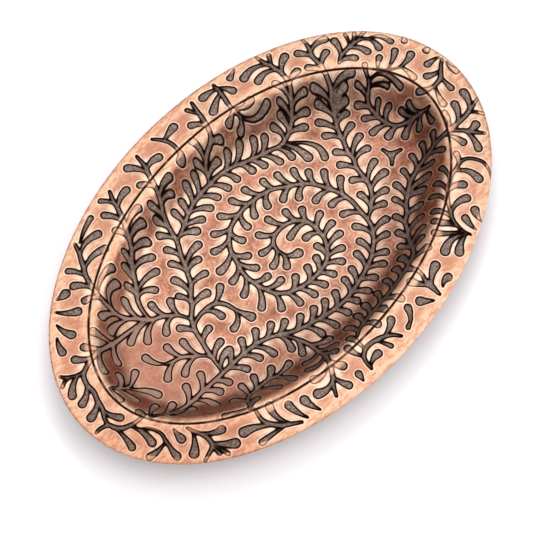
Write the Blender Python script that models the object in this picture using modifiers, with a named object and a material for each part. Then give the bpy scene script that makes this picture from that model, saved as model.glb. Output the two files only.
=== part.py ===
"""A small oval copper tray, pressed from a single sheet between two halves of a die.

Metres, +Z up. The origin is under the middle of the well, on the surface that the tray stands on.
+X runs along the tray and +Y across it. From the cut edge inwards the sheet has a narrow lip
turned down, a gently sloping rim, a rounded crest, a steep wall and a flat floor.
"""

import math

import bmesh
import bpy

# Driving dimensions of the pressed sheet, all taken on its upper face.
LENGTH = 0.114
WIDTH = 0.074
SHEET = 0.0008
RIM_WIDTH = 0.0085
WELL_DEPTH = 0.0070
LIP_RADIUS = 0.0010
CREST_RADIUS = 0.0028
FLOOR_RADIUS = 0.0036
LIP_SLOPE = math.radians(45)
RIM_SLOPE = math.radians(8)
WALL_SLOPE = math.radians(55)

# How finely the curves are divided.
OUTLINE_SIDES = 80
LIP_STEPS = 2
RIM_STEPS = 2
CREST_STEPS = 6
WALL_STEPS = 1
FLOOR_STEPS = 4

COPPER_COLOUR = (0.72, 0.36, 0.22, 1.0)
COPPER_ROUGHNESS = 0.35


def clear_scene():
    for obj in list(bpy.data.objects):
        bpy.data.objects.remove(obj, do_unlink=True)


def arc(radius, first_slope, last_slope, steps):
    """The (inward, upward) steps along an arc whose slope goes from the first to the last."""
    slopes = [first_slope + (last_slope - first_slope) * i / steps for i in range(steps + 1)]
    moves = []
    for before, after in zip(slopes, slopes[1:]):
        inward = radius * abs(math.sin(before) - math.sin(after))
        upward = radius * abs(math.cos(after) - math.cos(before))
        moves.append((inward, math.copysign(upward, before + after)))
    return moves


def straight(run, slope, steps):
    """The steps along a straight stretch that goes inwards by the run."""
    return [(run / steps, run * math.tan(slope) / steps)] * steps


def section_steps():
    """The tray's section as steps inwards and upwards, from the cut edge to the rim of the floor."""
    lip_run = LIP_RADIUS * (math.sin(LIP_SLOPE) - math.sin(RIM_SLOPE))
    rim_run = RIM_WIDTH - lip_run - CREST_RADIUS * math.sin(RIM_SLOPE)
    rounded_drop = (CREST_RADIUS + FLOOR_RADIUS) * (1 - math.cos(WALL_SLOPE))
    wall_run = (WELL_DEPTH - rounded_drop) / math.tan(WALL_SLOPE)
    return [
        *arc(LIP_RADIUS, LIP_SLOPE, RIM_SLOPE, LIP_STEPS),
        *straight(rim_run, RIM_SLOPE, RIM_STEPS),
        *arc(CREST_RADIUS, RIM_SLOPE, 0, 1),
        *arc(CREST_RADIUS, 0, -WALL_SLOPE, CREST_STEPS),
        *straight(wall_run, -WALL_SLOPE, WALL_STEPS),
        *arc(FLOOR_RADIUS, -WALL_SLOPE, 0, FLOOR_STEPS),
    ]


def copper():
    material = bpy.data.materials.new("patinated_copper")
    material.use_nodes = True
    shader = material.node_tree.nodes["Principled BSDF"]
    shader.inputs["Base Color"].default_value = COPPER_COLOUR
    shader.inputs["Metallic"].default_value = 1.0
    shader.inputs["Roughness"].default_value = COPPER_ROUGHNESS
    return material


def pressed_sheet(collection):
    """The tray: an oval blank whose middle is inset and lowered step by step, then given its thickness."""
    steps = section_steps()
    edge_height = SHEET - sum(upward for _, upward in steps)
    bm = bmesh.new()
    bmesh.ops.create_circle(bm, cap_ends=True, segments=OUTLINE_SIDES, radius=0.5)
    bmesh.ops.scale(bm, vec=(LENGTH, WIDTH, 1), verts=bm.verts)
    bmesh.ops.translate(bm, vec=(0, 0, edge_height), verts=bm.verts)
    floor = bm.faces[:][0]
    for inward, upward in steps:
        bmesh.ops.inset_individual(
            bm, faces=[floor], thickness=inward, depth=upward, use_even_offset=True
        )
    mesh = bpy.data.meshes.new("pressed_sheet")
    bm.to_mesh(mesh)
    bm.free()
    mesh.materials.append(copper())
    mesh.shade_smooth()

    tray = bpy.data.objects.new("pressed_sheet", mesh)
    collection.objects.link(tray)
    thickness = tray.modifiers.new("sheet", "SOLIDIFY")
    thickness.thickness = SHEET
    thickness.offset = -1
    thickness.use_even_offset = True
    return tray


def main():
    clear_scene()
    collection = bpy.data.collections.new("oval_copper_tray")
    bpy.context.scene.collection.children.link(collection)
    pressed_sheet(collection)


main()
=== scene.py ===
import math

import bmesh
import bpy
import numpy as np
from mathutils import Matrix, Vector, noise


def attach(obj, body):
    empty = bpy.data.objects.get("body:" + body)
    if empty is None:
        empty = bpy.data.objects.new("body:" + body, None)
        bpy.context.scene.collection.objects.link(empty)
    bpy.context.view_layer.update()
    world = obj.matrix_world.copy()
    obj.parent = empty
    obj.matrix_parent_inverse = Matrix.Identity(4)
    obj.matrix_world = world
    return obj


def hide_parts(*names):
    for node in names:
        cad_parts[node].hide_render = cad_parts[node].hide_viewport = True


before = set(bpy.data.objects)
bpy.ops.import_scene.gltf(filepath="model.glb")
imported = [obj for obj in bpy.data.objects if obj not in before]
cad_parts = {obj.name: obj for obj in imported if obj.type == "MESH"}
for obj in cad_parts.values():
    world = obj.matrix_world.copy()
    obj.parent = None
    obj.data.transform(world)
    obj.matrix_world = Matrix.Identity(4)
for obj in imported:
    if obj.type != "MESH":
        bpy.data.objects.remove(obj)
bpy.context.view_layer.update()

MM = 0.001

# ---------------------------------------------------------------------------------------------
# The leaf pattern. The copper sheet was run through engraved rollers before it was pressed, so
# vines with bean-shaped leaves lie just over a tenth of a millimetre below its face. Each vine is
# a stem laid through guide points in growth order, with the round ends of its leaves. A leaf
# without a radius has the usual one. Single leaves give their round end, bend, root and radius.
# All in millimetres from the middle of the tray.
# ---------------------------------------------------------------------------------------------
STEM = 0.5
FINE_STEM = 0.36
LEAF_NECK = 0.2
LEAF_BULB = 0.76
LEAF_SWELL = 0.11
VINES = {
    "main": (
        [
            (-46, -6.9), (-42.5, -8.4), (-39, -8.8), (-36, -9.1), (-33, -9.3), (-28.2, -9.7),
            (-22.3, -10.1), (-19, -10.5), (-16.9, -11), (-14.3, -12.2), (-12.1, -13.7),
            (-9.8, -15.2), (-6.7, -16.4), (-3.8, -17.4), (-1, -18.1), (2.6, -18.5), (6.2, -18.1),
            (9.8, -17.4), (12.9, -16.4), (15.7, -14.8), (18.3, -12.3), (19.2, -10.2), (19.7, -7.8),
            (20.3, -4.2), (19.8, -0.7), (18.1, 3.6), (16.3, 5.9), (14, 7.6), (11.2, 9.8),
            (7.4, 11), (3.8, 11.4), (0.5, 11), (-1.4, 10.4), (-3.3, 9.1), (-5, 7.2), (-6, 4.8),
            (-7, 2.7), (-7.5, 0.3), (-7.4, -2.1), (-7, -4.2), (-6.4, -6.1), (-4.8, -8),
            (-2.6, -9.2), (0.2, -10), (3.8, -10.2), (6.4, -9.7), (8.3, -8.3), (10, -5.9),
            (10.6, -3), (10.5, -0.7), (9.3, 1), (7.1, 2.2), (4.5, 2.5), (2.4, 1.7), (1.4, -0.2),
            (1.6, -2.2),
        ],
        [
            (-34.5, -6), (-30.5, -6.5), (-22.3, -7.4), (-19.1, -8), (-15.6, -8.8), (-12.4, -10.3),
            (-10, -12.1), (-7, -13.8), (-3.8, -14.8), (-1, -15.5), (1.9, -15.9), (5.5, -15.5),
            (8.3, -15), (11.7, -13.6), (14.3, -12.2), (16.3, -9.3), (16.8, -5.5), (16.9, -2.2),
            (15.4, 1), (13.6, 4.1), (11.1, 6.4), (7.8, 7.9), (4.3, 8.5), (1.4, 8), (-1.7, 6.8),
            (-3.6, 3.6), (-4.6, 0.5), (-4.5, -2.6), (-3.3, -5.3), (-0.8, -7.2), (2.5, -7.7),
            (5.4, -7.7), (7.6, -6.1), (7.5, -3), (-30.7, -12.1), (-27.9, -12.1), (-23.2, -13),
            (-19.6, -13.4), (-16.9, -15), (-13.7, -17.1), (-6.9, -19.7), (-3.6, -20.8),
            (0.2, -20.8), (3.5, -20.5), (6.7, -20.8), (10, -19.9), (13.6, -19.3), (16, -17.9),
            (19.2, -15.4), (21.8, -13.1), (22.7, 0.3), (21.6, 3.9), (19.4, 6.4), (17.6, 9),
            (14.6, 11), (11.5, 12.3), (7.5, 14), (3.8, 14.4), (-0.5, 13.9), (-4.5, 12.2),
            (-7.5, 9.6), (-10, 5.7, 0.9), (-10.2, 2.2), (-10.9, -1.6), (-10.7, -6.3), (-8.1, -9.6),
            (-4.6, -11.7), (-1.2, -12.8), (1.9, -13), (4.9, -12.8), (8.3, -12.3), (10.6, -10.3),
            (12.9, -7.8), (13.6, -5), (13.6, -1.7), (11.9, 1.8), (9.2, 4.1), (5.5, 5.8),
            (1.5, 4.9), (-1.2, 1.7), (3.8, -4.1, 0.95), (-0.1, -4.2), (-1.9, -2),
        ],
        STEM,
    ),
    "right": (
        [
            (19.4, -10.2), (21.3, -9.2), (22.8, -8.3), (24.4, -6.9), (25.7, -5), (26.3, -2.8),
            (26.9, -0.7), (28, 1.2), (28.5, 3.1), (29.7, 5.3), (30.6, 7.2), (31.8, 9.1),
            (33.5, 11.2), (34.7, 12.9), (36, 14.3), (36.7, 16), (37.5, 18), (38, 20), (38.3, 21.5),
            (39.2, 23), (39.9, 24.6), (40.1, 26),
        ],
        [
            (22.6, -5.4), (24.1, -1.9), (25.1, 2.4), (26.8, 5), (28.2, 9.2), (29.7, 12.2, 0.85),
            (32.3, 14.7), (33.4, 16.9), (35.6, 20.3), (36.9, 24.3, 0.8), (24.2, -10.4),
            (26.9, -8.7), (29.9, -5.9, 0.85), (30.4, -2.6), (31.8, 0.5), (32.9, 3.6), (33.7, 6.6),
            (35.1, 9.2), (36.8, 10.9), (38.2, 12.4), (40.9, 12.7), (40.9, 19.9), (43.2, 22.3, 0.8),
        ],
        STEM,
    ),
    "top": (
        [
            (-10.8, 17.2), (-7.6, 18.2), (-5.2, 19.2), (-2.4, 20.1), (0.7, 20.5), (3.8, 20.5),
            (6.9, 20.3), (10, 19.4), (12.9, 18), (15.7, 16.8), (18.1, 15.9), (20.3, 15),
            (22.8, 15.3), (24.9, 16.1), (26.8, 17.3), (28.2, 18.7), (29.6, 20.2), (30.4, 21.8),
            (30.9, 23.7), (31, 25.4), (30.9, 26.8), (30.6, 28.7), (30.5, 30.6),
        ],
        [
            (-6.4, 21.6), (-3.6, 22), (-0.5, 23.4, 0.85), (2.3, 23.6), (11.2, 22), (14.4, 21.4),
            (17.3, 20), (19.4, 18.7), (22.3, 18.6), (24.9, 18.9), (26.3, 20.4, 0.6), (28.1, 23.1),
            (26.3, 26.4, 0.8), (24.9, 29.2, 0.85), (-6.4, 15.5, 0.85), (-3.6, 16.4), (-0.5, 16.8),
            (2.4, 17.3), (5.5, 17), (8.3, 16.9), (11.9, 15.7, 0.8), (14.5, 14.6, 0.8),
            (17.3, 12.6), (19.8, 11.4), (26.8, 13.9, 0.9), (29.6, 15.6), (31.5, 17.9, 0.65),
            (33.4, 21.6), (34.5, 26, 0.85),
        ],
        STEM,
    ),
    "top_shoot": (
        [
            (3.8, 20.8), (5, 22.5), (6, 23.5), (7.4, 24.4), (9.3, 25.1), (10.5, 26.3), (11.7, 29),
            (12.6, 31.6), (13.4, 34),
        ],
        [
            (4.3, 24.6), (6.4, 27.8), (9.2, 30.4), (8.3, 22.3), (11.4, 24.3),
        ],
        STEM,
    ),
    "centre_left": (
        [
            (-26.9, -9.2), (-26.2, -6.6), (-25.5, -4.2), (-24.7, -1.9), (-23.7, 0.8), (-22.2, 3.2),
            (-20, 4.9), (-18.6, 6.5), (-16.4, 8.4), (-15, 10.5), (-14, 12), (-12.9, 14.1),
            (-11, 16.9), (-9.8, 19.9), (-9, 21.8), (-8.1, 23.5), (-7.1, 25.1), (-6.2, 27.5),
            (-5.2, 29.9), (-4.3, 31.6), (-3.6, 34.6),
        ],
        [
            (-25.4, 3.6), (-20.1, 8.6, 0.65), (-17.9, 11.6, 0.85), (-15.5, 14.6), (-13.7, 17.4),
            (-12.4, 20.6), (-10.7, 22.8), (-9.8, 25.1), (-8.3, 29.4), (-6.9, 34.2, 0.85),
            (-21.5, -1), (-22.2, -4.8), (-22.9, -7.3), (-15.7, 4.6, 0.85), (-12.6, 7.8),
            (-11.1, 11), (-8.6, 13.2, 0.85), (-4.3, 24.2, 0.6), (-2.6, 26.3, 0.7), (-1, 30.8, 0.9),
        ],
        STEM,
    ),
    "left_shoot": (
        [
            (-26.1, -5.4), (-26.8, -4.2), (-28.2, -2.8), (-29.9, -1.1), (-31.8, -0.2),
            (-33.3, 0.5),
        ],
        [
            (-27.3, 1.1), (-30.4, 2.8), (-35.1, 4.7), (-32.4, -3.9), (-35.6, -1.9),
        ],
        STEM,
    ),
    "upper_left": (
        [
            (-22.4, 3.4), (-23.3, 5.6), (-25.4, 7.9), (-27.7, 9.4), (-29.4, 11.6), (-30.9, 13.4),
            (-32, 15.1), (-32.7, 17.2), (-32.9, 19.2), (-32.5, 21.3), (-31.8, 23.2), (-31.1, 24.7),
            (-30.1, 26.1), (-29, 27.8), (-28, 29.4), (-27.2, 31.2),
        ],
        [
            (-28, 5.1), (-32, 6.8), (-34.5, 9.3), (-36.1, 13.2), (-35.6, 16.1), (-35.6, 20.8),
            (-34.5, 24.9, 0.8), (-32.7, 28.1, 0.6), (-22.1, 9.2), (-25.3, 11.6), (-28.5, 16.2),
            (-27.5, 19.2), (-24.2, 25.4, 0.85), (-22.5, 28.9, 0.85),
        ],
        STEM,
    ),
    "upper_left_shoot": (
        [
            (-27.9, 9.6), (-27.6, 11.8), (-26.6, 14.2), (-24.9, 16.1), (-23.7, 17.5), (-22.5, 19),
            (-21.1, 20.6), (-19.4, 22.2), (-18.2, 24.1), (-17.2, 26), (-16.2, 27.8), (-15.2, 29.9),
            (-14.6, 31.5), (-13.4, 33.6),
        ],
        [
            (-25.6, 17.8), (-23.4, 20.5), (-21.4, 22.3, 0.65), (-19.5, 26.4, 0.75),
            (-18.3, 30.7, 0.75), (-16.3, 33.6, 0.5), (-22.3, 13.3), (-19, 15.9, 0.8),
            (-17.1, 18.7), (-15.4, 21.3), (-13.8, 24), (-12.5, 26.3), (-11.1, 31, 0.85),
        ],
        STEM,
    ),
    "far_left": (
        [
            (-29, 10.6), (-34.2, 11.3), (-37.8, 11.3), (-40.9, 11.2), (-43.5, 11.1), (-46, 10.8),
            (-48.3, 10), (-49.4, 8), (-49.7, 6), (-50.6, 4.1), (-51.3, 2.2), (-52.6, 0.4),
            (-53.2, -1.2),
        ],
        [
            (-44.6, 7.4), (-40.1, 8), (-43.6, 14), (-46.8, 13.7), (-53.1, 6.1, 0.8),
            (-54.2, 2.7, 0.85), (-50.4, -2, 0.7),
        ],
        STEM,
    ),
    "far_left_tip": (
        [
            (-48, 10.6), (-49.5, 11.3), (-50.8, 12.5), (-51.6, 13.6),
        ],
        [
            (-53.1, 8.9, 0.8), (-53, 11.8, 0.3),
        ],
        STEM,
    ),
    "left_rim_shade": (
        [
            (-46.8, -5.4), (-48.5, -5.3), (-50, -4.8), (-51.6, -4), (-52.7, -2.6), (-53.1, -1.2),
            (-54.6, -0.4), (-56, -0.2),
        ],
        [],
        STEM,
    ),
    "left_wall": (
        [
            (-47, 3.9), (-45.5, 3.2), (-43.8, 2.7), (-42.3, 2.7), (-41.2, 3),
        ],
        [
            (-42.3, 5.5), (-39.1, 4.1), (-39.6, -2.8), (-44.3, -0.9, 0.85),
        ],
        STEM,
    ),
    "centre_sprig": (
        [
            (-23.6, 1.3), (-22, 2.1), (-20, 2.4), (-17.7, 2.2), (-16, 1.4), (-15, -0.3),
            (-14.6, -2.6), (-14.1, -4.4),
        ],
        [
            (-12.8, 3.4), (-17.6, -1.2), (-13.7, -6, 0.95),
        ],
        STEM,
    ),
    "lower_left": (
        [
            (-31.6, -21.2), (-30.3, -19.5), (-28.7, -18.1), (-26.6, -17.7), (-24.2, -17.7),
            (-22.3, -18), (-20, -18.9), (-18.3, -19),
        ],
        [
            (-26.9, -14.7, 0.7), (-23.7, -15.3, 0.7), (-19.9, -16.8, 0.8), (-16.6, -18.9),
            (-28.5, -20.3), (-23.6, -22, 0.85), (-20.2, -23, 0.95),
        ],
        STEM,
    ),
    "down_shoot": (
        [
            (-12.4, -13.9), (-11.5, -16), (-10.8, -18), (-10.5, -20), (-10.7, -21.8), (-11.5, -24),
            (-12.6, -26), (-13.6, -27.6), (-14.6, -29), (-16.2, -30.6), (-17.6, -32.6),
        ],
        [
            (-13, -19.5), (-14.8, -22, 0.8), (-16.8, -24.2), (-7, -21.8), (-8.2, -24.4),
            (-10.1, -25.9),
        ],
        STEM,
    ),
    "bottom": (
        [
            (-4.9, -27.4), (-2.9, -26.5), (0.2, -25.9), (3.8, -25.8), (7.4, -25.8), (10.5, -25.5),
            (14.2, -24.9), (17.3, -24), (19.2, -22.3), (20.6, -20.3), (22.5, -18.4), (24, -16.6),
            (25.9, -15.4), (27.5, -13.9), (29.4, -12.8), (31.6, -11.5), (34, -10.9), (36.1, -10.5),
            (38.2, -10.6), (40.4, -10.9), (42.3, -11.6), (44.5, -12), (46.6, -12.1), (48.8, -12.2),
            (50.6, -11.9), (52.3, -11.7), (54, -11.4),
        ],
        [
            (-3.1, -23.5, 0.85), (0.5, -23), (3.5, -22.6), (7.1, -22.8, 0.65), (10.5, -22.4, 0.65),
            (13.6, -22.4), (16.3, -21.8, 0.85), (18.8, -19.6), (21.1, -17.2, 0.8), (23.6, -14.4),
            (26.5, -11.6, 0.65), (29.3, -9.7), (32.8, -8.7, 0.65), (36.6, -7.8, 0.6),
            (39.7, -7.9, 0.55), (42, -8.9, 0.55), (46.3, -8.5, 0.55), (49.4, -8.8, 0.8),
            (52.9, -8.4, 0.9), (0, -28.9), (7.6, -28.8, 0.8), (21.6, -22.9, 0.6), (23.7, -21.2),
            (26, -18.9), (28.5, -16.7), (31.6, -14.9, 0.85), (34.4, -13.8, 0.85), (37, -12.9, 0.6),
            (39.7, -13.5, 0.6),
        ],
        STEM,
    ),
    "right_down": (
        [
            (43.6, -11.9), (45, -13.2), (46.3, -14.6), (47.3, -16.2), (48.6, -17.8),
        ],
        [
            (48.8, -15.1, 0.85),
        ],
        STEM,
    ),
    "right_wall": (
        [
            (45.6, -4.9), (44.9, -4.4), (43.7, -3.5), (41.8, -2.1), (39.9, -0.7), (39, 1.7),
            (39.1, 4.1), (39.4, 6), (40.1, 7.4), (41.2, 8.2), (42.4, 9.1),
        ],
        [
            (39.2, -3.8), (36.9, -1.1, 0.85), (35.4, 2), (36.8, 5.4), (38, 8.4), (40.3, 10.6, 0.5),
            (42.8, 0.5, 0.5), (44.4, -0.2, 0.45), (41.9, 3.1, 0.65), (41.3, 5.5, 0.55),
        ],
        STEM,
    ),
    "top_hang": (
        [
            (19.6, 33.4), (19.2, 31), (18.5, 29), (17.8, 27), (17.6, 25.3), (17.8, 23.9),
        ],
        [],
        STEM,
    ),
    "top_drop": (
        [
            (1.5, 34.8), (2.5, 33.2), (3.2, 31.3), (3.1, 29.3), (2.6, 27.8),
        ],
        [],
        STEM,
    ),
    "right_rim": (
        [
            (40.6, 16), (41.9, 16.7), (43.7, 17), (45.6, 17), (47.2, 16.8), (48.6, 16.2),
            (49.4, 15.2),
        ],
        [
            (44.3, 20.4), (43.8, 14.3), (46.8, 13.3), (49.2, 12.1, 0.75),
        ],
        STEM,
    ),
    "right_rim_low": (
        [
            (45.2, 8.4), (45.8, 7.5), (46.6, 6.7), (47.7, 5.9), (48.7, 5.4),
        ],
        [],
        FINE_STEM,
    ),
    "right_edge": (
        [
            (56, 0.2), (54.9, -0.4), (53.7, -1.4), (52.2, -2.5), (50.4, -2.8), (48.9, -2.6),
            (47.5, -1.4),
        ],
        [],
        STEM,
    ),
    "crest_right": (
        [
            (28.6, -30.6), (28.1, -28.8), (28.2, -27), (28.6, -25.6), (29.5, -24.2), (30.8, -22.4),
            (33, -20.5), (35.6, -19.2), (38, -18.6), (40.4, -18.4), (42, -19.5), (43.1, -21.8),
            (42.6, -23.8), (41.4, -25.6),
        ],
        [
            (34.3, -24.6, 0.8), (36.2, -22.1, 0.8), (27.5, -21.2, 0.65), (30.4, -18.2, 0.55),
            (33.2, -17.1, 0.55), (36.3, -15.9, 0.5), (40.6, -16.5, 0.6),
        ],
        FINE_STEM,
    ),
    "bottom_sprig": (
        [
            (13.8, -34), (13.9, -32), (14, -30.5), (14.7, -28.6), (14.9, -27.2),
        ],
        [],
        STEM,
    ),
    "bottom_left_sprig": (
        [
            (-8.2, -34.2), (-7.9, -32.6), (-7.3, -31.4), (-6, -30.6), (-4.4, -30.5), (-2.6, -31),
            (-0.9, -31.8), (0.4, -32.8), (1.4, -34.2),
        ],
        [],
        STEM,
    ),
    "lower_left_rim": (
        [
            (-26.6, -30.9), (-28, -29.8), (-29.7, -28.4), (-31, -26.7), (-31.7, -24.9),
            (-31.4, -23), (-31, -22),
        ],
        [],
        STEM,
    ),
    "left_low": (
        [
            (-43.2, -14), (-42.8, -15.6), (-42.1, -17.6), (-42.1, -19.4), (-42.8, -20.5), (-44.6, -21),
            (-46, -21.3),
        ],
        [],
        STEM,
    ),
    "left_low_thin": (
        [
            (-49.7, -6.8), (-48.5, -7.9), (-47.8, -9.4), (-47.6, -11), (-48.2, -12.6),
            (-48.7, -14.6), (-49.2, -17),
        ],
        [],
        FINE_STEM,
    ),
}
SINGLE_LEAVES = [
    ((5.5, -0.4), (9.6, 0.6), (10.6, -1.6), 0.75),
    ((-34, -13.7), (-33.4, -11.2), (-35.6, -9.4), 1),
    ((22, 8.7), (22.6, 12.3), (20.6, 15), 0.95),
    ((24.3, 6), (27.2, 9.6), (21.2, 14.6), 0.75),
    ((-42.3, -4.4), (-44.4, -5.2), (-46.4, -6.6), 0.8),
    ((-39.5, -6.6), (-41.8, -7.4), (-44, -8.3), 0.8),
    ((-38, -10.8), (-41, -11.3), (-43, -9.3), 1.05),
    ((-47, -4), (-46.6, -4.8), (-46.5, -5.6), 0.6),
    ((-47.3, 0.6), (-47, 2), (-47.2, 3.4), 0.7),
    ((-53.6, -8), (-52.8, -6), (-52.8, -3), 0.7),
    ((-50.2, -10.5), (-49.3, -7.8), (-50.4, -5), 0.8),
    ((-30.9, -16.2), (-29.9, -18), (-30.5, -19.6), 1.05),
    ((-19.8, -29.5), (-17.8, -31), (-15.3, -29.6), 0.95),
    ((-11.8, -29.4), (-12.7, -28), (-12.9, -26), 0.85),
    ((-14.1, -33), (-14.9, -31.3), (-14.9, -29.5), 0.75),
    ((-18.1, -26.9), (-16.5, -28.2), (-14.3, -27.2), 0.8),
    ((3.5, -27.6), (2.9, -26.8), (2, -25.9), 0.85),
    ((44.9, -19), (46.2, -17.2), (46, -14.4), 0.8),
    ((43.7, -15.8), (43.6, -13.9), (42.6, -12.4), 0.75),
    ((51.9, -14.6), (51.3, -13), (49.5, -11.9), 0.35),
    ((41.9, -5.4), (42.8, -4.2), (44.4, -4), 0.6),
    ((43.7, -7.3), (44, -6), (44.9, -4.8), 0.5),
    ((46.8, -1), (47, -2.4), (48.5, -2.8), 0.6),
    ((44.1, 5.3), (43.6, 7.2), (42.1, 8.1), 0.38),
    ((45.5, 2.9), (46.1, 8.2), (42.9, 8.9), 0.5),
    ((34, -4.4), (33.7, -3.2), (33.7, -2.3), 0.6),
    ((33.7, -2.2), (33.8, -3.2), (34, -4.4), 0.25),
    ((32.3, -5.9), (33.2, -5.2), (34, -4.4), 0.25),
    ((36.2, -5.1), (35.2, -4.7), (34, -4.4), 0.25),
    ((34, -4.4), (33.2, -5.2), (32.4, -6), 0.6),
    ((34, -4.4), (35.2, -4.6), (36.3, -5.2), 0.6),
    ((15.8, 32.9), (17.8, 33), (19.4, 31.8), 0.85),
    ((14.6, 28.9), (17.4, 30.6), (19.2, 30.8), 0.85),
    ((21.1, 29.1), (20.8, 30.6), (19.8, 32), 0.8),
    ((16, 22.5), (17.3, 22.8), (17.8, 24.2), 0.7),
    ((24, 21.9), (19.2, 20.8), (17.7, 24.6), 0.7),
    ((14.9, 24.8), (16.4, 25.1), (17.7, 26.2), 0.7),
    ((21.7, 24.7), (19.6, 24), (18, 26), 0.85),
    ((1.6, 26.7), (3, 27.2), (3.1, 29.3), 0.95),
    ((6.5, 33.1), (4.6, 32.9), (2.8, 32.6), 0.9),
    ((23.1, 31.6), (23.8, 31.8), (25.4, 32.4), 0.65),
    ((47, 19.8), (46.6, 18.4), (45.2, 17), 0.3),
    ((48.5, 18.4), (47.6, 17.6), (46.2, 17.1), 0.35),
    ((50.1, 17), (48.9, 17.2), (47.5, 16.8), 0.35),
    ((43.9, 11.6), (43, 10.9), (42.2, 8.9), 0.55),
    ((47.3, 10.4), (46.3, 10), (44.9, 8.9), 0.65),
    ((50.8, 9), (49.3, 7.9), (46.6, 7.3), 0.7),
    ((52.4, 5.9), (50.8, 5.2), (48, 5.7), 0.8),
    ((48.4, 1.8), (48.9, 3.8), (48.5, 5.6), 0.7),
    ((54.1, 9.1), (54.5, 9.4), (55, 10.2), 0.6),
    ((55.4, 4.1), (55.8, 4.1), (56.5, 4.1), 0.7),
    ((52.9, 1.7), (54.3, 1.6), (56, 1.2), 0.7),
    ((50.5, -0.1), (51.8, -1), (53.6, -1.2), 0.7),
    ((51.9, -5.7), (52, -4.2), (52.5, -2.4), 0.65),
    ((47.8, -6.9), (48.2, -5.2), (49.9, -3), 0.75),
    ((55.9, -3.8), (55.4, -2.4), (56.2, -0.9), 0.7),
    ((22, -28.9), (24.8, -27.3), (27.9, -29.6), 0.95),
    ((23.9, -31.2), (25.6, -29.8), (27.9, -29.8), 0.9),
    ((23.6, -24.7), (24.4, -26.2), (28, -28.8), 0.7),
    ((26, -24.4), (27.2, -25.6), (28.1, -27.4), 0.4),
    ((30.6, -27.3), (30.1, -28.6), (30.2, -30.6), 0.75),
    ((33.4, -27.6), (32.6, -28.6), (32.4, -30.2), 0.85),
    ((18.1, -29.5), (15.8, -30), (14, -32), 0.95),
    ((11.8, -28.1), (12.6, -29.6), (14, -31.8), 0.85),
    ((13.9, -25.6), (14.6, -26.8), (14.7, -28.6), 0.7),
    ((14.1, -31), (14, -32.5), (13.9, -34.4), 0.75),
    ((18, -33.1), (17, -32.6), (15.6, -33.6), 0.8),
    ((7, -31.3), (6.6, -32.6), (4.6, -33.8), 0.75),
    ((9.9, -32.2), (10.7, -33), (12, -34.2), 0.9),
    ((3.8, -34), (4.8, -33.6), (5.8, -33.4), 0.4),
    ((2.6, -30.4), (1.4, -31.5), (-1.2, -31.6), 0.8),
    ((-4.8, -33.1), (-6.2, -32.8), (-7.6, -33.6), 0.8),
    ((-8.2, -27.7), (-8.3, -29.5), (-7.3, -31.3), 0.75),
    ((-6, -26.2), (-5.6, -28.3), (-6, -30.4), 0.7),
    ((-1.7, -34), (-2, -33), (-3, -31), 0.45),
    ((-10.9, -33), (-11, -33.6), (-11.3, -34.6), 0.7),
    ((-22.7, -28.3), (-22.9, -29.8), (-22, -32), 0.92),
    ((-25.7, -26.6), (-25.9, -28.6), (-25, -31.2), 0.82),
    ((-28.5, -23.7), (-29.9, -26), (-28.4, -29), 0.8),
    ((-36.2, -23.4), (-33.6, -24.1), (-30.9, -27.2), 1),
    ((-35.3, -27.6), (-33, -27.8), (-29.3, -29), 0.6),
    ((-39.1, -23.6), (-41, -22), (-42.2, -19.8), 0.95),
    ((-46.3, -18.6), (-44.7, -17.8), (-43.2, -15.6), 0.95),
    ((-38.7, -19.6), (-40.6, -19.2), (-42, -16.9), 0.75),
    ((-42.9, -22.6), (-42.9, -21.6), (-42.4, -20), 0.35),
    ((-41.7, -24), (-42, -22.4), (-42.3, -20), 0.35),
    ((-45.7, -14.6), (-45.6, -13.4), (-45.2, -12), 0.85),
    ((-52.7, -12.1), (-51, -12.8), (-48.5, -12.6), 0.7),
    ((-49, -16.3), (-48.9, -14.6), (-47.9, -12.6), 0.75),
    ((-47.2, 16.8), (-46.8, 18.4), (-45.6, 19.8), 0.75),
    ((-43.1, 17.9), (-43.8, 19.6), (-43.4, 21.8), 0.85),
    ((-38.4, 20.4), (-40.2, 21.6), (-41.4, 24), 0.85),
    ((-37, 25.1), (-37.9, 25.1), (-39.2, 25.7), 0.95),
    ((-20.6, 32.6), (-23.4, 32), (-26.2, 30.6), 0.55),
    ((-18.1, -5), (-15.6, -4.9), (-14.9, -2.6), 0.75),
    ((-39.7, 14.8), (-39, 12.8), (-37.6, 11.4), 0.9),
    ((-26.2, 21.7), (-29.5, 22.4), (-32.4, 20), 0.75),
    ((39.5, -23.6), (40.2, -20.2), (37, -18.8), 0.85),
    ((52.1, 11.2), (52, 14.8), (49.2, 15.3), 0.6),
    ((32.6, 28.9), (31.9, 27.9), (31, 26.6), 0.4),
    ((11.4, 33.6), (11.9, 32.3), (12.2, 30.8), 0.4),
    ((20.2, -25.7), (18.4, -25), (15.6, -24.8), 0.75),
    ((25.6, -22.8), (26.4, -24), (28.2, -26), 0.65),
    ((-36.2, -18.2), (-34.5, -19.2), (-32, -20.6), 0.6),
]
LEAF_LENGTH = 3.5
LEAF_ANGLE = math.radians(40)
LEAF_SWEEP = 0.42
REACH = 2.2
FILLET = 0.22
SOFTNESS = 0.14
CROWD_SPREAD = 0.8
RASTER_CELL = 0.125
RASTER_REACH = (58, 38)


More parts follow.
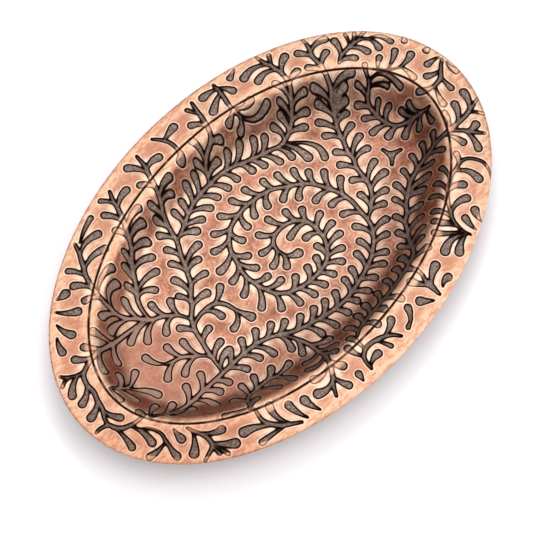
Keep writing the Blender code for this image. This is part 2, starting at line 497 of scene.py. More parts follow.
def stem_line(guide):
    """A smooth line through the guide points, with a point about every third of a millimetre."""
    guide = np.array(guide, float)
    if len(guide) == 2:
        guide = np.array([guide[0], guide.mean(0), guide[1]])
    before = 2 * guide[0] - guide[1]
    after = 2 * guide[-1] - guide[-2]
    chain = np.vstack([before, guide, after])
    line = []
    for p0, p1, p2, p3 in zip(chain, chain[1:], chain[2:], chain[3:]):
        count = max(2, int(np.linalg.norm(p2 - p1) / 0.35))
        t = np.arange(count)[:, None] / count
        line.append(
            p1 + 0.5 * ((p2 - p0) * t + (2 * p0 - 5 * p1 + 4 * p2 - p3) * t**2
                        + (3 * p1 - p0 - 3 * p2 + p3) * t**3)
        )
    return np.vstack([*line, guide[-1:]])


def leaf_line(bulb, bend, root):
    """The curved middle line of a leaf, from its root on the stem to its round end."""
    t = np.linspace(0, 1, 9)[:, None]
    return (1 - t) ** 2 * np.array(root) + 2 * t * (1 - t) * np.array(bend) + t**2 * np.array(bulb)


def leaf_radii(bulb_radius):
    full = bulb_radius + LEAF_SWELL
    return LEAF_NECK + (full - LEAF_NECK) * np.linspace(0, 1, 9) ** 1.05


def leaf_on_stem(line, way, bulb):
    """The middle line of a leaf that leaves the stem forwards and curls out to its round end."""
    reach = bulb - line
    length = np.linalg.norm(reach, axis=1)
    angle = np.arccos(np.clip((reach * way).sum(1) / np.maximum(length, 1e-6), -1, 1))
    misfit = np.abs(angle - LEAF_ANGLE) / math.radians(20) + np.abs(length - LEAF_LENGTH) / 1.6
    j = int(np.argmin(misfit))
    side = np.sign(way[j][0] * reach[j][1] - way[j][1] * reach[j][0])
    lift = LEAF_SWEEP * angle[j] * side
    out = np.array([
        way[j][0] * math.cos(lift) - way[j][1] * math.sin(lift),
        way[j][0] * math.sin(lift) + way[j][1] * math.cos(lift),
    ])
    bend = line[j] + out * length[j] * 0.5 / math.cos(angle[j] * (1 - LEAF_SWEEP))
    return leaf_line(bulb, bend, line[j])


def pattern_strokes():
    """Every stem and leaf as a line of points with a radius at each."""
    strokes = []
    for guide, leaves, stem_radius in VINES.values():
        line = stem_line(guide)
        way = np.gradient(line, axis=0)
        way /= np.linalg.norm(way, axis=1)[:, None]
        step = np.arange(len(line))
        young = np.clip(0.62 + 0.38 * step / 12, 0, 1)
        tip = np.clip(0.66 + 0.34 * step[::-1] / 12, 0, 1)
        strokes.append((line, stem_radius * young * tip))
        for x, y, *own_radius in leaves:
            radius = own_radius[0] if own_radius else LEAF_BULB
            strokes.append((leaf_on_stem(line, way, np.array([x, y])), leaf_radii(radius)))
    for bulb, bend, root, radius in SINGLE_LEAVES:
        strokes.append((leaf_line(bulb, bend, root), leaf_radii(radius)))
    return strokes


def leaf_distance(points, strokes):
    """How far each point lies outside the pattern, in millimetres. Inside a leaf it is negative."""
    nearest = np.full(len(points), REACH)
    own = np.full(len(points), REACH)
    order = np.argsort(points[:, 0])
    sorted_x = points[order, 0]
    margin = REACH + 1.1
    for line, radii in strokes:
        own[:] = REACH
        for a, b, radius_a, radius_b in zip(line, line[1:], radii, radii[1:]):
            first, last = np.searchsorted(
                sorted_x, [min(a[0], b[0]) - margin, max(a[0], b[0]) + margin]
            )
            near = order[first:last]
            height = points[near, 1]
            in_band = (height > min(a[1], b[1]) - margin) & (height < max(a[1], b[1]) + margin)
            near = near[in_band]
            along = b - a
            offset = points[near] - a
            share = np.clip(offset @ along / (along @ along + 1e-12), 0, 1)
            gap = np.linalg.norm(offset - share[:, None] * along, axis=1)
            gap -= radius_a + (radius_b - radius_a) * share
            own[near] = np.minimum(own[near], gap)
        blend = np.maximum(FILLET - np.abs(nearest - own), 0) ** 2 / (4 * FILLET)
        blend[own >= REACH] = 0
        nearest = np.minimum(nearest, own) - blend
    return nearest


def blurred(raster, spread):
    """The raster with each of its points averaged over about this many millimetres."""
    steps = math.ceil(3 * spread / RASTER_CELL)
    taps = np.exp(-0.5 * (np.arange(-steps, steps + 1) * RASTER_CELL / spread) ** 2)
    taps /= taps.sum()
    raster = np.apply_along_axis(np.convolve, 0, raster, taps, "same")
    return np.apply_along_axis(np.convolve, 1, raster, taps, "same")


def pattern_readings(points):
    """How far each point lies outside the pattern, and how far leaves close in round it: about 0
    along a straight outline, up to 0.5 in the horn of metal between a leaf and its stem."""
    across = np.arange(-RASTER_REACH[0], RASTER_REACH[0], RASTER_CELL)
    along = np.arange(-RASTER_REACH[1], RASTER_REACH[1], RASTER_CELL)
    raster = leaf_distance(np.array(np.meshgrid(across, along)).reshape(2, -1).T, pattern_strokes())
    raster = raster.reshape(len(along), len(across))
    covered = np.clip(0.5 - raster / RASTER_CELL, 0, 1)
    column, row = ((points + RASTER_REACH) / RASTER_CELL).T
    c = np.clip(column.astype(int), 0, len(across) - 2)
    r = np.clip(row.astype(int), 0, len(along) - 2)
    part_c, part_r = column - c, row - r

    def at_points(values):
        lower = values[r, c] * (1 - part_c) + values[r, c + 1] * part_c
        higher = values[r + 1, c] * (1 - part_c) + values[r + 1, c + 1] * part_c
        return lower * (1 - part_r) + higher * part_r

    leaf = at_points(blurred(raster, SOFTNESS))
    straight = 1 / (1 + np.exp(1.702 * leaf / CROWD_SPREAD))
    return leaf, at_points(blurred(covered, CROWD_SPREAD)) - straight


# ---------------------------------------------------------------------------------------------
# The tray. One sheet of rolled copper, cut to an oval and pressed between two halves of a die:
# a narrow lip turned down, a gently sloping rim, a rounded crest, a steep wall and a flat floor.
# ---------------------------------------------------------------------------------------------
LENGTH = 114 * MM
WIDTH = 74 * MM
SHEET = 0.8 * MM
RIM_WIDTH = 8.5 * MM
WELL_DEPTH = 7.0 * MM
LIP_RADIUS = 1.0 * MM
CREST_RADIUS = 2.8 * MM
FLOOR_RADIUS = 3.6 * MM
LIP_SLOPE = math.radians(45)
RIM_SLOPE = math.radians(8)
WALL_SLOPE = math.radians(55)

CELL = 0.285 * MM
TRIM = 0.45 * MM
ROLLED_INSETS = (0.3 * MM, 0.17 * MM, 0.07 * MM)
CUT_EDGE_DROPS = (0.06 * MM, 0.2 * MM)
UNDERSIDE_SIDES = 160
LOWER_CORNER_OUT = 0.05 * MM
LOWER_CORNER_UP = 0.06 * MM
UPPER_ISLAND = ((0.5, 0.33), 0.98)
LOWER_ISLAND = ((0.28, 0.83), 0.48)
LEAF_DEPTH = 0.13 * MM
BURR = 0.025 * MM
CREST_LINE = 8.3 * MM
CREST_LINE_DEPTH = 0.07 * MM
WAVE = 0.05 * MM
FOLDED_SLIVER = 0.6


def arc(radius, first_slope, last_slope, steps):
    """The (inward, upward) steps along an arc whose slope goes from the first to the last."""
    slopes = np.linspace(first_slope, last_slope, steps + 1)
    return [
        (radius * abs(math.sin(b) - math.sin(a)),
         math.copysign(radius * abs(math.cos(b) - math.cos(a)), a + b))
        for a, b in zip(slopes, slopes[1:])
    ]


def tray_section():
    """The upper face's (distance in from the cut edge, height) points, edge first."""
    lip_run = LIP_RADIUS * (math.sin(LIP_SLOPE) - math.sin(RIM_SLOPE))
    rim_run = RIM_WIDTH - lip_run - CREST_RADIUS * math.sin(RIM_SLOPE)
    rounded_drop = (CREST_RADIUS + FLOOR_RADIUS) * (1 - math.cos(WALL_SLOPE))
    wall_run = (WELL_DEPTH - rounded_drop) / math.tan(WALL_SLOPE)
    steps = [
        *arc(LIP_RADIUS, LIP_SLOPE, RIM_SLOPE, 4),
        (rim_run, rim_run * math.tan(RIM_SLOPE)),
        *arc(CREST_RADIUS, RIM_SLOPE, -WALL_SLOPE, 16),
        (wall_run, -wall_run * math.tan(WALL_SLOPE)),
        *arc(FLOOR_RADIUS, -WALL_SLOPE, 0, 12),
    ]
    edge_height = SHEET - sum(upward for _, upward in steps)
    points = np.cumsum([(0, edge_height), *steps], axis=0)
    return points[:, 0], points[:, 1]


section_in, section_height = tray_section()


def way_in(x, y):
    """How far points lie in from the oval's edge, and the nearest points on that edge."""
    a, b = LENGTH / 2, WIDTH / 2
    px, py = np.abs(x), np.abs(y)
    tx = np.full(len(x), math.sqrt(0.5))
    ty = tx.copy()
    for _ in range(6):
        ex = (a * a - b * b) * tx**3 / a
        ey = (b * b - a * a) * ty**3 / b
        radius = np.hypot(a * tx - ex, b * ty - ey)
        gap = np.maximum(np.hypot(px - ex, py - ey), 1e-12)
        tx = np.clip(((px - ex) * radius / gap + ex) / a, 0, 1)
        ty = np.clip(((py - ey) * radius / gap + ey) / b, 0, 1)
        size = np.hypot(tx, ty)
        tx, ty = tx / size, ty / size
    edge_x = np.copysign(a * tx, x)
    edge_y = np.copysign(b * ty, y)
    inside = (px / a) ** 2 + (py / b) ** 2 < 1
    distance = np.hypot(edge_x - x, edge_y - y) * np.where(inside, 1, -1)
    return distance, edge_x, edge_y


def edge_normal(edge_x, edge_y):
    """The unit direction straight in from a point on the oval's edge."""
    nx = -edge_x / (LENGTH / 2) ** 2
    ny = -edge_y / (WIDTH / 2) ** 2
    size = np.hypot(nx, ny)
    return nx / size, ny / size


def put_inside(verts, inset, height):
    """Move verts straight to a line a given distance in from the cut edge."""
    x = np.array([v.co.x for v in verts])
    y = np.array([v.co.y for v in verts])
    _, edge_x, edge_y = way_in(x, y)
    nx, ny = edge_normal(edge_x, edge_y)
    for v, px, py in zip(verts, edge_x + nx * inset, edge_y + ny * inset):
        v.co = (px, py, height)


def loop_verts(edges):
    """The verts of some edges, each once and in the same order on every run."""
    return list(dict.fromkeys(v for e in edges for v in e.verts))


def add_ring(edges, inset, height):
    """Carry an open edge on to a line a given distance in from the cut edge."""
    added = bmesh.ops.extrude_edge_only(bm, edges=edges)["geom"]
    added = [e for e in added if isinstance(e, bmesh.types.BMEdge) and e.is_boundary]
    put_inside(loop_verts(added), inset, height)
    return added


# The upper face: a fine grid trimmed to the oval, then rolled over the rounded cut edge.
bm = bmesh.new()
upper = bm.verts.layers.float.new("upper")
bmesh.ops.create_grid(
    bm, x_segments=round(LENGTH / CELL), y_segments=round(WIDTH / CELL), size=0.5
)
bmesh.ops.scale(bm, vec=(LENGTH, WIDTH, 1), verts=bm.verts)
grid = list(bm.verts)
grid_inset, _, _ = way_in(np.array([v.co.x for v in grid]), np.array([v.co.y for v in grid]))
outside = [v for v, distance in zip(grid, grid_inset) if distance < TRIM]
bmesh.ops.delete(bm, geom=outside, context="VERTS")
stray = [v for v in bm.verts if not v.link_faces]
bmesh.ops.delete(bm, geom=stray, context="VERTS")
rim_edges = [e for e in bm.edges if e.is_boundary]
put_inside(loop_verts(rim_edges), TRIM, 0)
bmesh.ops.remove_doubles(bm, verts=loop_verts(rim_edges), dist=0.3 * CELL)
rim_edges = [e for e in bm.edges if e.is_boundary]
for rolled_inset in ROLLED_INSETS:
    rim_edges = add_ring(rim_edges, rolled_inset, 0)
for v in bm.verts:
    v[upper] = 1.0

# The cut edge leans back under the lip. Its corners are worn round.
edge_top = section_height[0]
lip_lean = (math.sin(LIP_SLOPE), math.cos(LIP_SLOPE))
for drop in CUT_EDGE_DROPS:
    rim_edges = add_ring(rim_edges, drop * lip_lean[0], edge_top - drop * lip_lean[1])
    for v in loop_verts(rim_edges):
        v[upper] = 0.5

# The underside: an oval blank inset step by step along the section, a sheet's thickness below.
slope_x = np.gradient(section_in)
slope_z = np.gradient(section_height)
slope_size = np.hypot(slope_x, slope_z)
under_in = section_in + SHEET * slope_z / slope_size
under_height = section_height - SHEET * slope_x / slope_size
under_height[-1] = 0.0
under = bmesh.ops.create_circle(bm, cap_ends=True, segments=UNDERSIDE_SIDES, radius=0.5)
under_ring = under["verts"]
bmesh.ops.scale(bm, vec=(LENGTH, WIDTH, 1), verts=under_ring)
last_ring = (under_in[0] - LOWER_CORNER_OUT, under_height[0] + LOWER_CORNER_UP)
put_inside(under_ring, *last_ring)
floor = next(f for f in under_ring[0].link_faces if len(f.verts) == UNDERSIDE_SIDES)
under_faces = []
for next_ring in zip(under_in, under_height):
    ring = bmesh.ops.inset_individual(
        bm, faces=[floor], thickness=next_ring[0] - last_ring[0],
        depth=next_ring[1] - last_ring[1], use_even_offset=True,
    )
    under_faces += ring["faces"]
    last_ring = next_ring
bmesh.ops.reverse_faces(bm, faces=[*under_faces, floor])
under_edges = [e for f in under_faces for e in f.edges if e.is_boundary]
bmesh.ops.bridge_loops(bm, edges=rim_edges + under_edges)
bmesh.ops.triangulate(bm, faces=[f for f in bm.faces if len(f.verts) > 4 and f is not floor])

sheet_mesh = bpy.data.meshes.new("patterned_sheet")
bm.to_mesh(sheet_mesh)
bm.free()

count = len(sheet_mesh.vertices)
place = np.empty(count * 3)
sheet_mesh.vertices.foreach_get("co", place)
place = place.reshape(-1, 3)
side = np.empty(count, np.float32)
sheet_mesh.attributes["upper"].data.foreach_get("value", side)

# A texture layout of its own: the upper face seen from above, with a smaller island for the rest.
flat = sheet_mesh.uv_layers.new(name="OFBake")
corner_vert = np.empty(len(sheet_mesh.loops), np.int32)
sheet_mesh.loops.foreach_get("vertex_index", corner_vert)
first_corner = np.empty(len(sheet_mesh.polygons), np.int32)
sheet_mesh.polygons.foreach_get("loop_start", first_corner)
corners = np.empty(len(sheet_mesh.polygons), np.int32)
sheet_mesh.polygons.foreach_get("loop_total", corners)
face_is_upper = np.minimum.reduceat(side[corner_vert], first_corner) > 0.9
corner_is_upper = np.repeat(face_is_upper, corners)
upper_uv = np.array(UPPER_ISLAND[0]) + place[corner_vert, :2] / LENGTH * UPPER_ISLAND[1]
lower_uv = np.array(LOWER_ISLAND[0]) + place[corner_vert, :2] / LENGTH * LOWER_ISLAND[1]
corner_uv = np.where(corner_is_upper[:, None], upper_uv, lower_uv)
flat.uv.foreach_set("vector", corner_uv.astype(np.float32).ravel())


def crest_line_inset(x, y):
    """The line round the crest lies a little further in at the ends, most at the right one."""
    cosine = np.cos(np.arctan2(y / WIDTH, x / LENGTH))
    sine = np.sin(np.arctan2(y / WIDTH, x / LENGTH))
    skew = 0.9 * sine * np.maximum(cosine, 0) ** 3
    return CREST_LINE + (0.75 * cosine**4 + 0.35 * cosine + skew) * MM


# The upper face takes the die's shape, the leaf pattern and the line round the crest.
top = side > 0.9
x, y = place[top, 0], place[top, 1]
way_inside, edge_x, edge_y = way_in(x, y)
inward_x, inward_y = edge_normal(edge_x, edge_y)
slide = crest_line_inset(x, y) - way_inside
slide[np.abs(slide) > 0.48 * CELL] = 0
x += inward_x * slide
y += inward_y * slide
way_inside += slide

leaf_gap, crowded = pattern_readings(np.column_stack([x, y]) / MM)


def ease(value, start, end):
    t = np.clip((value - start) / (end - start), 0, 1)
    return t * t * (3 - 2 * t)


# The thinnest slivers of metal between leaves have folded down with them.
leaf_gap -= FOLDED_SLIVER * ease(crowded, 0.27, 0.37)

height = np.interp(way_inside, section_in, section_height)
fall = (np.interp(way_inside + 0.1 * MM, section_in, section_height)
        - np.interp(way_inside - 0.1 * MM, section_in, section_height)) / (0.2 * MM)
steepness = np.hypot(1, fall)
worn_flat = 1 - 0.6 * ease(way_inside, 6.6 * MM, 7.8 * MM) * (1 - ease(way_inside, 9.6 * MM, 11 * MM))
worn_flat *= 0.25 + 0.75 * ease(way_inside, 0.4 * MM, 1.4 * MM)
pressed = LEAF_DEPTH * (1 - ease(leaf_gap, -0.2, 0.14))
raised = BURR * ease(leaf_gap, 0.05, 0.28) * (1 - ease(leaf_gap, 0.3, 0.7))
from_line = way_inside - crest_line_inset(x, y)
groove = CREST_LINE_DEPTH * (1 - ease(np.abs(from_line), 0.05 * MM, 0.22 * MM))
sink = (pressed - raised) * worn_flat + groove
wave = np.array([
    noise.noise(Vector((px * 90, py * 90, 0.3))) + 0.35 * noise.noise(Vector((px * 300, py * 300, 4)))
    for px, py in zip(x, y)
])
sink += WAVE * (0.5 + 0.37 * wave) * ease(way_inside, 0.4 * MM, 2.5 * MM)
sink = np.maximum(sink, 0)
x += inward_x * sink * fall / steepness
y += inward_y * sink * fall / steepness
place[top, 0] = x
place[top, 1] = y
place[top, 2] = height - sink / steepness
sheet_mesh.vertices.foreach_set("co", place.ravel())

readings = {
    "leaf_distance": (leaf_gap, REACH),
    "crowding": (crowded, 0),
    "inset": (way_inside / MM, 0),
    "from_crest_line": (from_line / MM, 5),
}
for name, (values, elsewhere) in readings.items():
    whole = np.full(count, elsewhere, np.float32)
    whole[top] = values
    sheet_mesh.attributes.new(name, "FLOAT", "POINT").data.foreach_set("value", whole)
sheet_mesh.shade_smooth()
sheet_mesh.update()

tray = bpy.data.objects.new("patterned_sheet", sheet_mesh)
bpy.context.scene.collection.objects.link(tray)


# The finish: copper toned dark by hand and rubbed back. The toning stays in the sunk leaves, is
# nearly black along their outlines, and is rubbed away to pale bright metal beside them, which also
# carries a painted highlight.
copper = bpy.data.materials.new("toned_copper")
copper.use_nodes = True
nodes = copper.node_tree.nodes
links = copper.node_tree.links
shader = nodes["Principled BSDF"]


def tone(red, green, blue):
    """A colour given as seen on a screen, in linear light."""
    return tuple(
        c / 12.92 / 255 if c <= 10 else ((c / 255 + 0.055) / 1.055) ** 2.4
        for c in (red, green, blue)
    ) + (1.0,)


def feed(socket, value):
    if isinstance(value, bpy.types.NodeSocket):
        links.new(value, socket)
    else:
        socket.default_value = value


def reading(name):
    node = nodes.new("ShaderNodeAttribute")
    node.attribute_name = name
    return node.outputs["Fac"]


def work_out(operation, *values, clamp=False):
    node = nodes.new("ShaderNodeMath")
    node.operation = operation
    node.use_clamp = clamp
    for socket, value in zip(node.inputs, values):
        feed(socket, value)
    return node.outputs[0]


def product(first, second, clamp=False):
    return work_out("MULTIPLY", first, second, clamp=clamp)


def between(value, start, end, low=0.0, high=1.0):
    """Goes smoothly from low to high as the value goes from start to end."""
    node = nodes.new("ShaderNodeMapRange")
    node.interpolation_type = "SMOOTHSTEP"
    for socket, part in zip(node.inputs, (value, start, end, low, high)):
        feed(socket, part)
    return node.outputs[0]


def ramp(value, *stops):
    node = nodes.new("ShaderNodeValToRGB")
    stops_list = node.color_ramp.elements
    while len(stops_list) < len(stops):
        stops_list.new(0.5)
    for stop, (position, colour) in zip(stops_list, stops):
        stop.position = position
        stop.color = colour
    feed(node.inputs[0], value)
    return node.outputs[0]


def mix(share, first, second, blend="MIX"):
    node = nodes.new("ShaderNodeMix")
    node.data_type = "RGBA"
    node.blend_type = blend
    feed(node.inputs["Factor"], share)
    feed(node.inputs["A"], first)
    feed(node.inputs["B"], second)
    return node.outputs["Result"]


coordinates = nodes.new("ShaderNodeTexCoord")


def grain(size, detail=3.0, roughness=0.55, stretch=(1, 1, 1), turn=0.0, offset=0.0):
    """Noise whose patches are about this size in millimetres."""
    mapping = nodes.new("ShaderNodeMapping")
    mapping.inputs["Location"].default_value = (offset, offset, 0)
    mapping.inputs["Rotation"].default_value = (0, 0, turn)
    mapping.inputs["Scale"].default_value = tuple(s / MM / size for s in stretch)
    links.new(coordinates.outputs["Object"], mapping.inputs["Vector"])
    node = nodes.new("ShaderNodeTexNoise")
    node.inputs["Scale"].default_value = 1.0
    node.inputs["Detail"].default_value = detail
    node.inputs["Roughness"].default_value = roughness
    links.new(mapping.outputs[0], node.inputs["Vector"])
    return node.outputs["Fac"]


spot = nodes.new("ShaderNodeSeparateXYZ")
links.new(coordinates.outputs["Object"], spot.inputs[0])
along_x = work_out("DIVIDE", spot.outputs["X"], MM)
along_y = work_out("DIVIDE", spot.outputs["Y"], MM)
inset = reading("inset")
upper_face = reading("upper")
wobble = work_out("MULTIPLY_ADD", grain(0.9), 0.16, -0.08)
leaf = work_out("ADD", reading("leaf_distance"), wobble)
in_leaf = between(leaf, 0.06, -0.06)

# Where the toning is worn through: in patches along the crest, most at the left end, and at the
# cut edge. On the far side the crest is worn further in and more often, partly real wear and
# partly a painted highlight on the far crest.
far_band = product(between(inset, 7.1, 7.9), between(inset, 10.3, 9.3))
near_band = product(between(inset, 6.0, 7.2), between(inset, 9.6, 8.9))
near_side = between(along_y, 6, -12)
crest_band = product(far_band, work_out("SUBTRACT", 1.0, near_side))
crest_band = work_out("MULTIPLY_ADD", near_band, near_side, crest_band)
left_wear = between(along_x, -8, -44, 0.0, 0.2)
far_wear_and_highlight = between(along_y, -8, 10, 0.0, 0.2)
edge_band = between(inset, 1.7, 0.7)
patches = work_out("ADD", work_out("ADD", left_wear, far_wear_and_highlight), -0.27)
patches = work_out("MULTIPLY_ADD", grain(4.5, offset=3.0), 1.6, patches)
worn = work_out("MAXIMUM", product(crest_band, patches), edge_band)
worn = between(worn, 0.2, 0.6)

# Bare copper, with the brown blotches of old polish and the shade of the bends.
blotch = grain(2.6, detail=5.0, roughness=0.66)
fine = grain(0.7, detail=4.0, roughness=0.7)
bare = ramp(
    blotch,
    (0.28, tone(136, 84, 66)),
    (0.42, tone(178, 120, 98)),
    (0.56, tone(206, 146, 120)),
    (0.72, tone(234, 178, 150)),
)
bare = mix(product(between(fine, 0.54, 0.36), 0.55), bare, tone(140, 86, 68))
bare = mix(product(between(fine, 0.56, 0.7), 0.5), bare, tone(240, 196, 172))
streak = grain(0.9, detail=4.0, roughness=0.7, stretch=(0.4, 1, 1), turn=0.9)
rim_face = between(inset, 10.8, 9.4)
bare = mix(
    product(between(streak, 0.52, 0.36), product(rim_face, 0.7)),
    bare, tone(168, 100, 72),
)
bare = mix(product(rim_face, 0.35), bare, tone(248, 184, 150))
brushed = grain(0.34, detail=2.0, stretch=(0.22, 1, 1))
brushed = product(between(brushed, 0.53, 0.42), product(rim_face, 0.55))
brushed = product(brushed, between(blotch, 0.42, 0.6))
bare = mix(brushed, bare, tone(172, 106, 80))
# Pale polished metal along the crest and near the cut edge, partly a painted highlight.
polish_and_highlight = work_out("MAXIMUM", between(inset, 6.0, 7.6), between(inset, 3.4, 1.6))
polish_and_highlight = product(polish_and_highlight, rim_face)
polish_and_highlight = product(polish_and_highlight, between(streak, 0.42, 0.58, 0.2, 0.75))
bare = mix(polish_and_highlight, bare, tone(255, 210, 176))

# The toning left in the leaves.
fill = ramp(
    grain(0.45, detail=4.0, roughness=0.8),
    (0.34, tone(84, 66, 57)),
    (0.50, tone(142, 119, 108)),
    (0.66, tone(212, 188, 174)),
)
fill = mix(between(leaf, -0.5, -0.15, 0.0, 0.6), fill, tone(92, 72, 62))
left_end = between(along_x, -16, -36)
left_end = work_out("ADD", left_end, work_out("MULTIPLY_ADD", blotch, 1.2, -0.6))
left_end = product(between(left_end, 0.2, 0.9), between(inset, 9.5, 12.5))
fill = mix(product(left_end, 0.7), fill, tone(170, 132, 118))
bare = mix(product(left_end, 0.6), bare, tone(172, 118, 98))
fill = mix(worn, fill, bare)

# Pale metal beside the outlines and in the horns between leaf and stem: partly rubbed bright, partly a
# painted highlight.
hem_highlight_and_rub = between(leaf, 0.48, 0.26)
horn = product(between(reading("crowding"), -0.04, 0.15), between(leaf, 1.4, 0.7))
highlight_and_rub = work_out("MAXIMUM", product(hem_highlight_and_rub, 0.9), horn)
highlight_and_rub = product(highlight_and_rub, between(grain(1.8, offset=7.0), 0.28, 0.55, 0.35, 1.0))
highlight_and_rub = product(highlight_and_rub, between(left_end, 0, 1, 1.0, 0.45))
face = mix(highlight_and_rub, bare, tone(255, 222, 196))
face = mix(in_leaf, face, fill)
outline = between(work_out("ABSOLUTE", work_out("ADD", leaf, 0.02)), 0.24, 0.09)
outline = product(outline, between(worn, 0, 1, 1.0, 0.75))
face = mix(outline, face, mix(worn, tone(30, 16, 11), tone(96, 54, 40)))

# Painted shade, partly toning: the wall and the corner round the floor are darkened, the wall on
# the near side, the corner most at the right end. So are the inner side of the near crest, the
# leaves on the near side, the left end of the rim and the outer floor. The rim's leaves keep more
# toning.
near_wall_shade = product(between(inset, 10.2, 11.4), between(inset, 14.4, 13.0))
near_wall_shade = product(near_wall_shade, product(near_side, 0.45))
corner_shade = work_out("MULTIPLY_ADD", along_x, 0.012, 0.35)
corner_shade = work_out("MULTIPLY_ADD", along_y, -0.007, corner_shade)
corner_shade = product(corner_shade, between(inset, 12.6, 14.4))
corner_shade = product(corner_shade, between(inset, 21.0, 16.2), clamp=True)
near_crest_shade = product(between(inset, 8.6, 9.2), between(inset, 11.2, 10.4))
near_crest_shade = product(near_crest_shade, product(near_side, 0.75))
shade = work_out("MAXIMUM", near_wall_shade, work_out("MAXIMUM", corner_shade, near_crest_shade))
shade = product(shade, between(blotch, 0.35, 0.6, 1.1, 0.8))
face = mix(shade, face, mix(1.0, face, (0.6, 0.5, 0.47, 1), blend="MULTIPLY"))
# Painted shade, partly toning: the leaves on the near side of the crest and wall are darkened.
near_leaf_shade = product(between(inset, 8.6, 9.2), between(inset, 14.8, 13.2))
near_leaf_shade = product(near_leaf_shade, product(near_side, in_leaf))
face = mix(product(near_leaf_shade, 0.6), face, tone(44, 28, 22))
# Painted shade: the rim at the left end is darkened, most on the near side.
left_rim_shade = product(between(along_x, -26, -42), between(inset, 8.6, 7.4))
left_rim_shade = product(left_rim_shade, between(along_y, 16, -12, 0.3, 1.1))
face = mix(left_rim_shade, face, mix(1.0, face, (0.82, 0.72, 0.68, 1), blend="MULTIPLY"))
rim_leaf = product(between(inset, 8.0, 6.0), between(inset, 0.8, 2.0, 0.0, 0.8))
rim_leaf = product(in_leaf, rim_leaf)
face = mix(rim_leaf, face, mix(1.0, face, (0.74, 0.74, 0.74, 1), blend="MULTIPLY"))
# Painted shade: the outer floor is darkened towards the near side and the right, leaving the middle of
# the floor lighter.
outer_floor_shade = product(between(inset, 26.0, 19.0), between(inset, 13.2, 14.6))
near_floor_shade = work_out("SUBTRACT", product(along_x, 0.35), along_y)
near_floor_shade = between(near_floor_shade, -14, 16, 0.0, 1.1)
outer_floor_shade = product(outer_floor_shade, near_floor_shade)
face = mix(outer_floor_shade, face, mix(1.0, face, (0.74, 0.70, 0.70, 1), blend="MULTIPLY"))

crest_line = between(work_out("ABSOLUTE", reading("from_crest_line")), 0.4, 0.17)
crest_line = product(crest_line, between(grain(3.0, offset=5.0), 0.3, 0.5, 0.75, 1.0))
face = mix(crest_line, face, tone(34, 20, 16))

# The underside and the cut edge have the plain toning.
plain = ramp(blotch, (0.35, tone(110, 74, 60)), (0.6, tone(168, 116, 94)))
edge_metal = between(upper_face, 0.1, 0.45)
plain = mix(edge_metal, plain, tone(214, 150, 118))
colour = mix(between(upper_face, 0.6, 0.9), plain, face)
links.new(colour, shader.inputs["Base Color"])

unworn = between(worn, 0, 1, 1.0, 0.25)
dull = product(work_out("MAXIMUM", in_leaf, outline), unworn)
stained = product(in_leaf, work_out("SUBTRACT", unworn, outline), clamp=True)
links.new(between(stained, 0, 1, 1.0, 0.45), shader.inputs["Metallic"])
rough = work_out("MULTIPLY_ADD", fine, 0.22, between(dull, 0, 1, 0.27, 0.5))
links.new(rough, shader.inputs["Roughness"])

scratches = grain(0.35, detail=2.0, stretch=(0.06, 1, 1), turn=0.7)
pits = grain(0.3, detail=3.0, roughness=0.7)
surface = work_out("MULTIPLY_ADD", scratches, 0.35, pits)
bump = nodes.new("ShaderNodeBump")
bump.inputs["Strength"].default_value = 0.35
bump.inputs["Distance"].default_value = 0.03 * MM
links.new(surface, bump.inputs["Height"])
links.new(bump.outputs["Normal"], shader.inputs["Normal"])

sheet_mesh.materials.append(copper)
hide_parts("pressed_sheet")
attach(tray, "root")


# ---------------------------------------------------------------------------------------------
# The white table the tray stands on.
# ---------------------------------------------------------------------------------------------
bm = bmesh.new()
bmesh.ops.create_grid(bm, x_segments=1, y_segments=1, size=1.5)
table_mesh = bpy.data.meshes.new("white_table")
bm.to_mesh(table_mesh)
bm.free()
paper = bpy.data.materials.new("white_paper")
paper.use_nodes = True
paper_shader = paper.node_tree.nodes["Principled BSDF"]
paper_shader.inputs["Base Color"].default_value = (0.92, 0.89, 0.92, 1)
paper_shader.inputs["Roughness"].default_value = 0.9
paper_shader.inputs["Emission Color"].default_value = (1, 1, 1, 1)
paper_shader.inputs["Emission Strength"].default_value = 0.14
table_mesh.materials.append(paper)
table = bpy.data.objects.new("white_table", table_mesh)
bpy.context.scene.collection.objects.link(table)


# ---------------------------------------------------------------------------------------------
# Studio light: a white room, with a large soft lamp high behind the tray and three smaller ones
# round it.
# ---------------------------------------------------------------------------------------------
CAMERA_AZIMUTH = math.radians(-49.38)
CAMERA_ELEVATION = math.radians(67.0)

room = bpy.data.worlds.new("white_room")
room.use_nodes = True
room.node_tree.nodes["Background"].inputs["Color"].default_value = (1, 1, 1, 1)
room.node_tree.nodes["Background"].inputs["Strength"].default_value = 0.42
bpy.context.scene.world = room


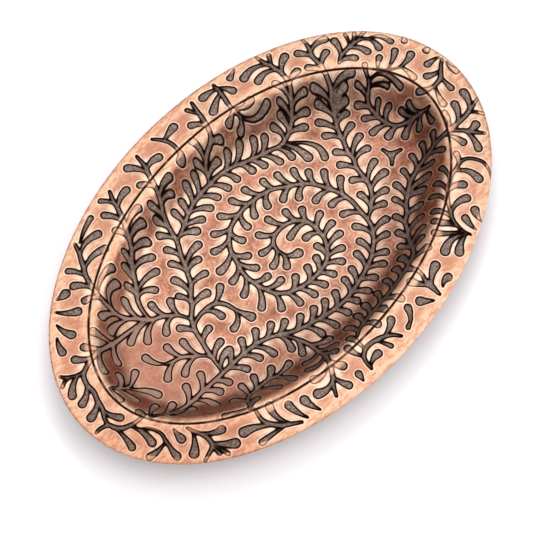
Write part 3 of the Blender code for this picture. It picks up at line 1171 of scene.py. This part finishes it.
def direction(azimuth, elevation):
    """The unit vector from the tray towards a place at these angles in radians."""
    level = math.cos(elevation)
    return Vector((math.sin(azimuth) * level, -math.cos(azimuth) * level, math.sin(elevation)))


def soft_lamp(name, azimuth, elevation, distance, size, power):
    """A square lamp that faces the tray. The azimuth is counted from the camera's, to the right."""
    back = direction(CAMERA_AZIMUTH + math.radians(azimuth), math.radians(elevation))
    lamp = bpy.data.lights.new(name, "AREA")
    lamp.size = size
    lamp.energy = power
    holder = bpy.data.objects.new(name, lamp)
    holder.matrix_world = (
        Matrix.Translation(back * distance) @ back.to_track_quat("Z", "Y").to_matrix().to_4x4()
    )
    bpy.context.scene.collection.objects.link(holder)
    return holder


soft_lamp("overhead_lamp", azimuth=200, elevation=72, distance=0.9, size=1.3, power=5.05)
soft_lamp("front_lamp", azimuth=-15, elevation=48, distance=1.0, size=1.1, power=2.2)
table_lamp = soft_lamp("table_lamp", azimuth=178, elevation=40, distance=1.0, size=0.5, power=3.6)
table_lamp.visible_glossy = False
soft_lamp("window_lamp", azimuth=85, elevation=35, distance=1.0, size=0.9, power=3.1)

# ---------------------------------------------------------------------------------------------
# The camera, high over one long side and turned towards one end, with a long lens.
# ---------------------------------------------------------------------------------------------
CAMERA_DISTANCE = 0.95
AIM_LEFT = 1.16 * MM
AIM_DOWN = 2.35 * MM
back = direction(CAMERA_AZIMUTH, CAMERA_ELEVATION)
right = Vector((math.cos(CAMERA_AZIMUTH), math.sin(CAMERA_AZIMUTH), 0))
up = back.cross(right)
aim = -AIM_LEFT * right - AIM_DOWN * up
lens = bpy.data.cameras.new("camera")
lens.sensor_width = 36
lens.lens = 304
lens.clip_start = 0.01
lens.clip_end = 20
camera = bpy.data.objects.new("camera", lens)
camera.matrix_world = Matrix.Translation(aim + back * CAMERA_DISTANCE) @ Matrix(
    (right, up, back)
).transposed().to_4x4()
bpy.context.scene.collection.objects.link(camera)
bpy.context.scene.camera = camera
bpy.context.scene.view_settings.view_transform = "Standard"
